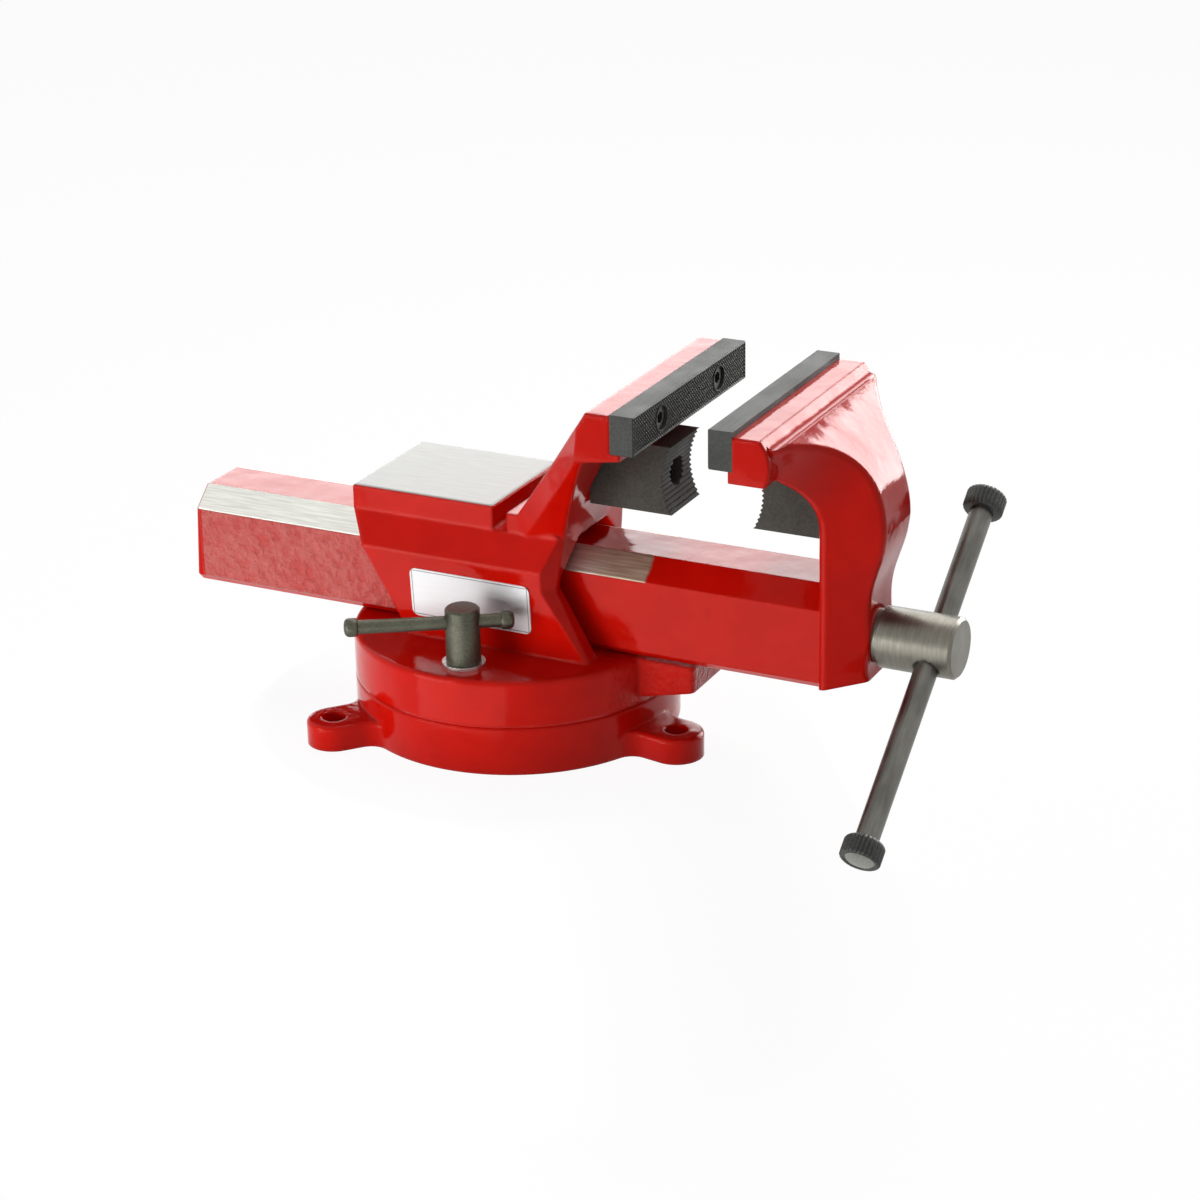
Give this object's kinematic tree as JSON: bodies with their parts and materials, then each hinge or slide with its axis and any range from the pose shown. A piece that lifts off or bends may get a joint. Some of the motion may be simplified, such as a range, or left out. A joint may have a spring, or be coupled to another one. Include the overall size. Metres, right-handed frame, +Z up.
{
  "type": "swivel bench vise",
  "caption": "Swivel bench vise with serrated jaw plates, pipe jaws, an anvil, a sliding handle and a round base that bolts to a bench.",
  "frame": {"origin": "swivel axis at the underside of the base", "axes": "+Z up along the swivel axis, +X along the beam towards the handle, +Y to the far side"},
  "size_m": [0.4789, 0.2407, 0.2265],
  "materials": {
    "red_paint": "gloss red paint over cast metal, machined where the beam slides and on the anvil",
    "plate_steel": "dark hardened steel",
    "screw_steel": "turned steel",
    "dark_steel": "blackened steel",
    "zinc_steel": "zinc plated",
    "plain_label": "satin, blank"
  },
  "bodies": {
    "base": {"swivel_base": "red_paint", "pivot_pin": "screw_steel"},
    "fixed_jaw": {"rear_body": "red_paint", "name_plate": "plain_label", "lead_nut": "screw_steel", "nut_bolt_rear": "dark_steel", "nut_bolt_front": "dark_steel", "fixed_jaw_plate": "plate_steel", "fixed_jaw_screw_near": "dark_steel", "fixed_jaw_screw_far": "dark_steel", "fixed_pipe_jaw": "plate_steel", "fixed_pipe_screw": "dark_steel", "lock_stud_near": "screw_steel", "lock_stud_far": "screw_steel", "lock_washer_near": "zinc_steel", "lock_washer_far": "zinc_steel"},
    "moving_jaw": {"sliding_jaw": "red_paint", "moving_jaw_plate": "plate_steel", "moving_jaw_screw_near": "dark_steel", "moving_jaw_screw_far": "dark_steel", "moving_pipe_jaw": "plate_steel", "moving_pipe_screw": "dark_steel", "thrust_washer": "zinc_steel"},
    "screw": {"lead_screw": "screw_steel", "screw_collar": "screw_steel", "collar_pin": "screw_steel"},
    "handle": {"handle_bar": "screw_steel", "handle_cap_upper": "dark_steel", "handle_cap_lower": "dark_steel"},
    "lock_near": {"lock_nut_near": "dark_steel"},
    "lever_near": {"lock_lever_near": "dark_steel", "lever_cap_short_near": "dark_steel", "lever_cap_long_near": "dark_steel"},
    "lock_far": {"lock_nut_far": "dark_steel"},
    "lever_far": {"lock_lever_far": "dark_steel", "lever_cap_short_far": "dark_steel", "lever_cap_long_far": "dark_steel"}
  },
  "joints": [
    {"name": "swivel", "type": "hinge", "parent": "base", "child": "fixed_jaw", "pos_m": [0, 0, 0], "axis": [0, 0, 1], "continuous": true},
    {"name": "jaw_slide", "type": "slide", "parent": "fixed_jaw", "child": "moving_jaw", "axis": [1, 0, 0], "range_m": [-0.0435, 0.105]},
    {"name": "screw_turn", "type": "hinge", "parent": "moving_jaw", "child": "screw", "pos_m": [0.25, 0, 0.0845], "axis": [1, 0, 0], "range_deg": [-2609, 6299]},
    {"name": "handle_slide", "type": "slide", "parent": "screw", "child": "handle", "axis": [0, 0.7965, 0.6046], "range_m": [-0.0705, 0.107]},
    {"name": "lock_turn_near", "type": "hinge", "parent": "fixed_jaw", "child": "lock_near", "pos_m": [0.0044, -0.0736, 0.08], "axis": [0, 0, 1], "range_deg": [-45, 0]},
    {"name": "lever_slide_near", "type": "slide", "parent": "lock_near", "child": "lever_near", "axis": [0.8517, 0.524, 0], "range_m": [-0.011, 0.003]},
    {"name": "lock_turn_far", "type": "hinge", "parent": "fixed_jaw", "child": "lock_far", "pos_m": [0.0044, 0.0736, 0.08], "axis": [0, 0, 1], "range_deg": [0, 45]},
    {"name": "lever_slide_far", "type": "slide", "parent": "lock_far", "child": "lever_far", "axis": [0.8517, -0.524, 0], "range_m": [-0.011, 0.003]}
  ],
  "couplings": [
    {"joint": "jaw_slide", "follows": "screw_turn", "m_per_rad": 0.00095493}
  ]
}
